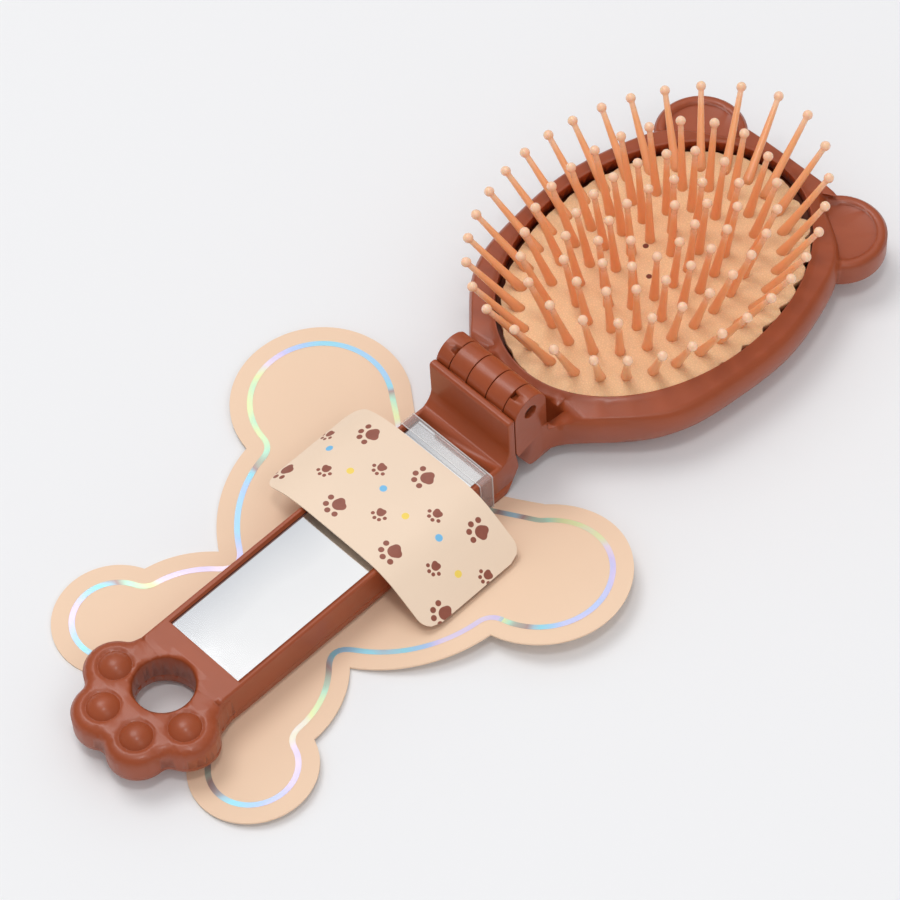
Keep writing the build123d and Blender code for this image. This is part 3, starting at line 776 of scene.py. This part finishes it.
def extruded_hem(bm, hem, out):
    """Extrudes the skin's open edge and moves it out; returns its new edges and vertices."""
    made = bmesh.ops.extrude_edge_only(bm, edges=hem)["geom"]
    hem = [one for one in made if isinstance(one, bmesh.types.BMEdge) and one.is_boundary]
    verts = {vert for edge in hem for vert in edge.verts}
    for vert in verts:
        away = vert.co.xy - Vector(CUSHION_MIDDLE) * MM
        vert.co.xy += away.normalized() * out * MM
    return hem, verts


def cushion_skin(bm, sizes):
    """A crowned rubber skin, puckered along its edge, closed underneath."""
    turns = outer_turns()
    shares = [math.sin(math.pi / 2 * row / CUSHION_ROWS) ** CUSHION_CROWDING
              for row in range(CUSHION_ROWS + 1)]
    for vert in spun(bm, [(share, 0.0) for share in shares], CUSHION_SIDES):
        share, turn = vert.co.xy.length, math.atan2(vert.co.y, vert.co.x)
        vert.co = cushion_point(share, turn, turns, sizes) * MM
    hem = [edge for edge in bm.edges if edge.is_boundary]
    for out, down in HEM:
        hem, verts = extruded_hem(bm, hem, out)
        for vert in verts:
            vert.co.z -= down * MM
    hem, verts = extruded_hem(bm, hem, -sum(out for out, down in HEM))
    for vert in verts:
        vert.co.z = CUSHION_FOOT * MM
    bmesh.ops.edgeloop_fill(bm, edges=hem)


class BRUSH_OT_cushion(bpy.types.Operator):
    """Puff up the rubber cushion, pucker its edge and give it its leather grain"""

    bl_idname = "brush.cushion"
    bl_label = "Cushion"

    def execute(self, context):
        sizes, colours = context.scene.brush_sizes, context.scene.brush_colours
        bm = bmesh.new()
        cushion_skin(bm, sizes)
        rubber = rubber_finish(tuple(colours.cushion), sizes.grain)
        made = finished("cushion_skin", bm, rubber, "head", ["cushion"])
        return {"FINISHED"}


# ---------------------------------------------------------------- backing card


CARD_LOBES = (                  # middle and half sizes: two ears, two arms, head, body
    ((27.0, -30.0), (17.3, 17.3)), ((26.3, 31.2), (18.1, 18.1)),
    ((-40.3, -20.5), (12.5, 12.5)), ((-36.2, 22.3), (12.6, 12.6)),
    ((13.5, 0.5), (31.0, 33.5)), ((-28.5, 1.5), (23.5, 26.0)),
)
CARD_TOP = 0.4
CARD_MIDDLE = 1.5
CARD_FRONT = (35.5, 12.0)       # where the front edge leaves the handle, from the card's middle
CARD_FRONT_SLOPES = {-1: 0.54, 1: 0.76}
CARD_FRONT_END = 19.8           # beyond this half width the lobes stay whole
CARD_CROTCH = (-33.5, 8.0)      # the gap between the arms: where it starts, and its half width
CARD_CUTS = (                   # direction, spacing and numbers of the lines where it can bend
    (Vector((0, 1, 0)), 2.6, range(-19, 20)),
    (Vector((1, 0, 0)), 4.0, range(-14, 12)),
)
CURL_START, CURL_END = 12.0, 48.0        # the lobes rise between these, across the card
CURL_BACK, CURL_FRONT = -45.0, 10.0      # and rise in full only toward the front
CURL_BACK_SHARE = 0.5           # of the rise, behind them
ARC_STEP = 0.004                # turn by which the outline is followed round a lobe
LOBE_INSIDE = 0.9995            # a point this far out, as a share, is still inside a lobe
OUTLINE_STEP = 0.9
CORNER_LIMIT = 9.0              # a rounded corner of the foil line reaches no further
CORNER_STEPS = 8
CORNER_LEAST = 0.05             # sine of the smallest corner that is rounded
FOIL_HEIGHT = 0.03              # over the card
FOIL_FRONT = 1.1                # distance from the front edge, as a share of the inset
FOIL_BEND = (24.0, 21.0)        # the line is smoothed beyond this x, within this half width
FOIL_SMOOTHING = 30
FOIL_MITRE = 0.8                # the line widens in its corners by no more than this allows


def card_place(x, y, sizes, height=CARD_TOP):
    """Where a point of the flat card lies once it has curled, in millimetres."""
    lift = (sizes.card_lift if y < CARD_MIDDLE else sizes.card_lift_far) / MM
    out = smooth_step(abs(y - CARD_MIDDLE), CURL_START, CURL_END)
    forward = smooth_step(x, CURL_BACK, CURL_FRONT)
    out *= CURL_BACK_SHARE + (1.0 - CURL_BACK_SHARE) * forward
    return Vector((x, y, lift * out + height))


def lobe_point(lobe, turn, inset=0.0):
    """A point on a lobe's edge, or inside it by inset."""
    (x, y), (a, b) = CARD_LOBES[lobe]
    return Vector((x + (a - inset) * math.cos(turn), y + (b - inset) * math.sin(turn)))


def lobe_turn(lobe, point):
    """The turn round a lobe at which a point lies, or None if it isn't inside."""
    (x, y), (a, b) = CARD_LOBES[lobe]
    u, v = (point.x - x) / a, (point.y - y) / b
    return math.atan2(v, u) if math.hypot(u, v) < LOBE_INSIDE else None


def card_arcs():
    """The arcs of the lobes that make the card's outline, in order round it."""
    arcs = []
    lobe, start = 0, -math.pi / 2
    turn = start
    while True:
        turn += ARC_STEP
        if lobe == 0 and arcs and turn >= 1.5 * math.pi:
            arcs[0] = (0, start - math.tau, arcs[0][2])
            return arcs
        here = lobe_point(lobe, turn)
        for other in range(len(CARD_LOBES)):
            entered = lobe_turn(other, here) if other != lobe else None
            if entered is not None:
                arcs.append((lobe, start, turn))
                if other == 0 and entered < -math.pi / 2:
                    entered += math.tau
                lobe, start, turn = other, entered, entered
                break


def card_front(y):
    """Where the card is cut back beside and under the handle: its largest x at a given y."""
    across = abs(y - CARD_MIDDLE)
    if across > CARD_FRONT_END:
        return math.inf
    slope = CARD_FRONT_SLOPES[1 if y > CARD_MIDDLE else -1]
    return CARD_FRONT[0] + slope * (across - CARD_FRONT[1])


def card_runs(inset):
    """The outline's arcs as runs of points, set in from the card's edge."""
    runs = []
    for lobe, start, end in card_arcs():
        steps = max(3, int((end - start) * CARD_LOBES[lobe][1][0] / OUTLINE_STEP))
        runs.append([lobe_point(lobe, start + (end - start) * i / steps, inset)
                     for i in range(steps + 1)])
    return runs


def foil_path(inset):
    """The line set in from the card's edge, with rounded corners between the lobes."""
    runs = card_runs(inset)
    path = []
    for before, after in zip(runs, runs[1:] + runs[:1]):
        path += before
        away = (before[-1] - before[-2]).normalized()
        back = (after[0] - after[1]).normalized()
        gap = after[0] - before[-1]
        cross = away.cross(back)
        if abs(cross) > CORNER_LEAST:
            corner = before[-1] + away * min(max(gap.cross(back) / cross, 0.0), CORNER_LIMIT)
            for i in range(1, CORNER_STEPS):
                t = i / CORNER_STEPS
                path.append(before[-1].lerp(corner, t).lerp(corner.lerp(after[0], t), t))
    for point in path:
        point.x = min(point.x, card_front(point.y) - FOIL_FRONT * inset)
    for _ in range(FOIL_SMOOTHING):
        for i, point in enumerate(path):
            if point.x > FOIL_BEND[0] and abs(point.y - CARD_MIDDLE) < FOIL_BEND[1]:
                path[i] = (path[i - 1] + 2 * point + path[(i + 1) % len(path)]) / 4
    return path


def card_sheet(bm, sizes):
    """The lobed card: outline, cut back at both ends, divided finely, curled, thickened."""
    outline = [point for run in card_runs(0.0) for point in run[:-1]]
    bm.faces.new([bm.verts.new((point.x, point.y, 0.0)) for point in outline])
    cuts = [(normal, spacing * i) for normal, spacing, numbers in CARD_CUTS for i in numbers]
    cuts.append((Vector((1, 0, 0)), CARD_CROTCH[0]))
    for side, slope in CARD_FRONT_SLOPES.items():
        cuts.append((Vector((0, 1, 0)), CARD_MIDDLE + side * CARD_CROTCH[1]))
        normal = Vector((1, -slope * side, 0)).normalized()
        front = Vector((CARD_FRONT[0], CARD_MIDDLE + side * CARD_FRONT[1], 0))
        cuts.append((normal, normal.dot(front)))
    for normal, off in cuts:
        cut_across(bm, normal * off, normal)
    gone = []
    for face in bm.faces:
        middle = face.calc_center_median()
        behind = middle.x < CARD_CROTCH[0] and abs(middle.y - CARD_MIDDLE) < CARD_CROTCH[1]
        if behind or middle.x > card_front(middle.y):
            gone.append(face)
    bmesh.ops.delete(bm, geom=gone, context="FACES")
    for vert in bm.verts:
        vert.co = card_place(vert.co.x, vert.co.y, sizes) * MM
    thickened(bm, CARD_TOP * MM)


def foil_ribbon(bm, sizes):
    """The foil line as a thin ribbon that follows the curled card."""
    along = bm.verts.layers.float["along"]
    path = foil_path(sizes.foil_inset / MM)
    half = sizes.foil_width / MM / 2
    travelled = 0.0
    pairs = []
    for i, point in enumerate(path):
        following = path[(i + 1) % len(path)]
        ahead = (following - point).normalized()
        behind = (point - path[i - 1]).normalized()
        side = Vector((-(ahead.y + behind.y), ahead.x + behind.x))
        mitre = math.sqrt(max(0.0, (1 + ahead.dot(behind)) / 2))
        side = side.normalized() / max(FOIL_MITRE, mitre)
        pair = []
        for spot in (point + side * half, point - side * half):
            vert = bm.verts.new(card_place(spot.x, spot.y, sizes, CARD_TOP + FOIL_HEIGHT) * MM)
            vert[along] = travelled * MM
            pair.append(vert)
        pairs.append(pair)
        travelled += (following - point).length
    for here, there in zip(pairs, pairs[1:] + pairs[:1]):
        bm.faces.new((here[1], there[1], there[0], here[0]))


class BRUSH_OT_card(bpy.types.Operator):
    """Curl the backing card's lobes a little and print its foil line"""

    bl_idname = "brush.card"
    bl_label = "Backing Card"

    def execute(self, context):
        sizes, colours = context.scene.brush_sizes, context.scene.brush_colours
        bm = bmesh.new()
        card_sheet(bm, sizes)
        finished("card_sheet", bm, card_finish(tuple(colours.card)), "handle",
                 ["backing_card"], 30)
        foil = bmesh.new()
        foil.verts.layers.float.new("along")
        foil_ribbon(foil, sizes)
        finished("foil_line", foil, foil_finish(), "handle")
        return {"FINISHED"}


# ---------------------------------------------------------------- band and strap


BAND_MIDDLE = 14.8
BAND_HALF = 12.8
BAND_CORNER = 3.5
BAND_THICKNESS = 0.3
BAND_COLUMNS = 16
BAND_STEPS = 6                  # parts of the curve between two of its corners
BAND_LINE = (                   # across the handle and up
    (21.2, 7.2), (18.4, 8.9), (14.6, 10.3), (10.0, 10.95), (5.0, 11.05), (0.0, 11.05),
    (-5.0, 11.0), (-9.8, 10.75), (-13.6, 9.6), (-17.2, 7.5), (-20.6, 5.2), (-24.0, 2.9),
)
PRINT_ROWS = 7
PRINT_STEP = 7.6
PRINT_COLUMN = 5.9
PRINT_STAGGER = 2.2
PRINT_SMALL = 0.66
PRINT_TURN, PRINT_SWING = 200, 35        # degrees
PRINT_SWING_BACK = 0.4          # share of the swing in every other row, the other way
DOT_PLACES = (0.9, -0.6)        # off the band's middle, by turns


def band_curve():
    """Points across the band, from its far end over the handle to its near end."""
    corners = [Vector(corner) for corner in BAND_LINE]
    points = []
    ends = [2 * corners[0] - corners[1]] + corners + [2 * corners[-1] - corners[-2]]
    for a, b, c, d in zip(ends, ends[1:], ends[2:], ends[3:]):
        for k in range(BAND_STEPS):
            t = k / BAND_STEPS
            points.append(0.5 * (2 * b + (c - a) * t + (2 * a - 5 * b + 4 * c - d) * t * t
                                 + (3 * b - a - 3 * c + d) * t ** 3))
    points.append(corners[-1])
    lengths = [0.0]
    for a, b in zip(points, points[1:]):
        lengths.append(lengths[-1] + (b - a).length)
    return points, lengths


def band_sheet(bm):
    """The band as a bent sheet with rounded corners and its flat shape as UV map."""
    uv = bm.loops.layers.uv.new("Band")
    points, lengths = band_curve()
    rows = len(points) - 1
    bmesh.ops.create_grid(bm, x_segments=BAND_COLUMNS, y_segments=rows, size=1.0)
    flat = {}
    for vert in bm.verts:
        row = round((vert.co.y + 1.0) / 2 * rows)
        place = lengths[row]
        cut = max(0.0, BAND_CORNER - min(place, lengths[-1] - place))
        half = BAND_HALF - BAND_CORNER + math.sqrt(max(0.0, BAND_CORNER ** 2 - cut ** 2))
        across = half * vert.co.x
        flat[vert] = Vector((across, place - lengths[-1] / 2)) * MM
        vert.co = Vector((BAND_MIDDLE + across, *points[row])) * MM
    for face in bm.faces:
        for loop in face.loops:
            loop[uv].uv = flat[loop.vert]
    thickened(bm, -BAND_THICKNESS * MM)


def band_prints(size):
    """The place, size and turn of each paw print, in two staggered columns."""
    prints = []
    for row in range(PRINT_ROWS):
        stagger = PRINT_STAGGER if row % 2 else -PRINT_STAGGER
        for side in (-1, 1):
            across, along = PRINT_COLUMN * side + stagger, (row - PRINT_ROWS // 2) * PRINT_STEP
            small = (row + (side > 0)) % 2
            turn = PRINT_TURN + PRINT_SWING * side * (1 if row % 2 else -PRINT_SWING_BACK)
            prints.append((Vector((across, along)) * MM, size * (PRINT_SMALL if small else 1.0),
                           math.radians(turn)))
    return prints


def band_dots(first):
    """The places of every other dot down the band's middle, from the first one given."""
    return [Vector((DOT_PLACES[row % 2], (row + 1 - PRINT_ROWS / 2) * PRINT_STEP)) * MM
            for row in range(first, PRINT_ROWS - 1, 2)]


class BRUSH_OT_band(bpy.types.Operator):
    """Bend the cream band over the handle and print its paw prints"""

    bl_idname = "brush.band"
    bl_label = "Cream Band"

    def execute(self, context):
        sizes, colours = context.scene.brush_sizes, context.scene.brush_colours
        bm = bmesh.new()
        band_sheet(bm)
        dots = [(tuple(colours.sky), band_dots(0)), (tuple(colours.sun), band_dots(1))]
        paper = band_finish(tuple(colours.band), tuple(colours.ink),
                            band_prints(sizes.print_size), dots)
        finished("band_sheet", bm, paper, "handle", ["card_band"], 40)
        return {"FINISHED"}


class BRUSH_OT_strap(bpy.types.Operator):
    """Give the narrow strap beside the hinge its clear film"""

    bl_idname = "brush.strap"
    bl_label = "Clear Strap"

    def execute(self, context):
        dress("clear_strap", film_finish(*corners_of("clear_strap")))
        return {"FINISHED"}


# ---------------------------------------------------------------- stage


TABLE_SIZE = 6.0                # metres
STAGE_MIDDLE = Vector((0.03, 0.0, 0.0))
LAMPS = (                       # name, azimuth, elevation, distance, size, power
    ("Key softbox", 88, 66, 1.6, 0.8, 7.2),
    ("Top softbox", -131, 78, 1.2, 0.2, 2.0),
    ("Fill softbox", -100, 50, 1.4, 0.5, 1.1),
)
AMBIENT = 0.62
AMBIENT_TONE = (0.98, 0.985, 1.0, 1.0)
REFLECTOR_TURN, REFLECTOR_HEIGHT = 48.6, 54.6    # a pale board that only reflections show
REFLECTOR_CORE, REFLECTOR_EDGE = 20, 38          # degrees off its middle
SURROUNDINGS = 0.2              # brightness of what reflections show beside the board
CAMERA_AIM = Vector((31.82, -0.05, 9.4)) * MM
CAMERA_TURN, CAMERA_HEIGHT, CAMERA_ROLL = -131.43, 54.6, -3.88
CAMERA_DISTANCE = 784.7 * MM
CAMERA_LENS = 162.3


def direction(azimuth, elevation):
    """A unit vector from an azimuth, where -90 is in front, and an elevation, in degrees."""
    a, e = math.radians(azimuth), math.radians(elevation)
    return Vector((math.cos(a) * math.cos(e), math.sin(a) * math.cos(e), math.sin(e)))


def set_table(tone):
    """A wide pale table top under the brush."""
    bpy.ops.mesh.primitive_plane_add(size=TABLE_SIZE)
    table = bpy.context.object
    table.name = "Table"
    finish = Finish("Table")
    cloud = finish.noise(0.5, detail=2.0)
    finish.set(Base_Color=finish.ramp(cloud, (0.3, shade(tone, 0.985)), (0.7, tone)),
               Roughness=0.75)
    table.data.materials.append(finish.material)


def set_world(scene, tone):
    """Soft pale light; reflections see a pale board over the brush in dimmer surroundings."""
    world = bpy.data.worlds.new("Studio")
    scene.world = world
    world.use_nodes = True
    nodes = Nodes(world.node_tree)
    light = nodes.tree.nodes["Background"]
    light.inputs["Color"].default_value = AMBIENT_TONE
    light.inputs["Strength"].default_value = AMBIENT
    seen = nodes.node("ShaderNodeBackground", {"Color": tone})
    toward = nodes.vector_maths("DOT_PRODUCT", nodes.coords["Generated"],
                                direction(REFLECTOR_TURN, REFLECTOR_HEIGHT)).outputs["Value"]
    board = nodes.mapped(toward, math.cos(math.radians(REFLECTOR_EDGE)),
                         math.cos(math.radians(REFLECTOR_CORE)), SURROUNDINGS, 1.0)
    mirrored = nodes.node("ShaderNodeBackground", {"Color": tone, "Strength": board})
    ray = nodes.node("ShaderNodeLightPath").outputs
    either = nodes.maths("MAXIMUM", ray["Is Camera Ray"], ray["Is Transmission Ray"])
    plain = nodes.node("ShaderNodeMixShader",
                       {0: either, 1: light.outputs[0], 2: seen.outputs[0]})
    mixed = nodes.node("ShaderNodeMixShader", {0: ray["Is Glossy Ray"], 1: plain.outputs[0],
                                               2: mirrored.outputs[0]})
    nodes.feed(nodes.tree.nodes["World Output"].inputs["Surface"], mixed.outputs[0])


def area_light(name, azimuth, elevation, distance, size, power):
    """A round softbox that faces the brush."""
    lamp = bpy.data.lights.new(name, "AREA")
    lamp.shape = "DISK"
    lamp.size = size
    lamp.energy = power
    away = direction(azimuth, elevation)
    made = bpy.data.objects.new(name, lamp)
    made.location = STAGE_MIDDLE + away * distance
    made.rotation_euler = away.to_track_quat("Z", "Y").to_euler()
    bpy.context.scene.collection.objects.link(made)


def set_camera(scene):
    """A long lens that looks down on the brush from beside the paw."""
    back = direction(CAMERA_TURN, CAMERA_HEIGHT)
    level = Vector((0, 0, 1)).cross(back).normalized()
    roll = math.radians(CAMERA_ROLL)
    right = level * math.cos(roll) + back.cross(level) * math.sin(roll)
    up = back.cross(right)
    lens = bpy.data.cameras.new("Camera")
    lens.sensor_width = 36.0
    lens.lens = CAMERA_LENS
    camera = bpy.data.objects.new("Camera", lens)
    scene.collection.objects.link(camera)
    turn = Matrix((right, up, back)).transposed().to_4x4()
    camera.matrix_world = Matrix.Translation(CAMERA_AIM + back * CAMERA_DISTANCE) @ turn
    scene.camera = camera


class BRUSH_OT_stage(bpy.types.Operator):
    """Set the table, the lights and the camera"""

    bl_idname = "brush.stage"
    bl_label = "Stage"

    def execute(self, context):
        scene = context.scene
        tone = tuple(scene.brush_colours.backdrop)
        scene.view_settings.view_transform = "Standard"
        set_table(tone)
        set_world(scene, tone)
        for lamp in LAMPS:
            area_light(*lamp)
        set_camera(scene)
        return {"FINISHED"}


# ---------------------------------------------------------------- panel and main


class BRUSH_PT_panel(bpy.types.Panel):
    """Every step of the brush, in order"""

    bl_label = "Folding Hairbrush"
    bl_idname = "BRUSH_PT_panel"
    bl_space_type = "VIEW_3D"
    bl_region_type = "UI"
    bl_category = "Hairbrush"

    def draw(self, context):
        column = self.layout.column()
        for group in (context.scene.brush_sizes, context.scene.brush_colours):
            for name in group.__annotations__:
                column.prop(group, name)
        for operator in OPERATORS:
            column.operator(operator.bl_idname)


OPERATORS = (BRUSH_OT_plastic, BRUSH_OT_mirror, BRUSH_OT_cushion, BRUSH_OT_pins,
             BRUSH_OT_card, BRUSH_OT_band, BRUSH_OT_strap, BRUSH_OT_stage)
CLASSES = (BrushSizes, BrushColours) + OPERATORS + (BRUSH_PT_panel,)


def register():
    for cls in CLASSES:
        bpy.utils.register_class(cls)
    bpy.types.Scene.brush_sizes = PointerProperty(type=BrushSizes)
    bpy.types.Scene.brush_colours = PointerProperty(type=BrushColours)


def unregister():
    del bpy.types.Scene.brush_colours
    del bpy.types.Scene.brush_sizes
    for cls in reversed(CLASSES):
        bpy.utils.unregister_class(cls)


def main():
    register()
    bpy.ops.brush.plastic()
    bpy.ops.brush.mirror()
    bpy.ops.brush.cushion()
    bpy.ops.brush.pins()
    bpy.ops.brush.card()
    bpy.ops.brush.band()
    bpy.ops.brush.strap()
    bpy.ops.brush.stage()


if __name__ == "__main__":
    main()
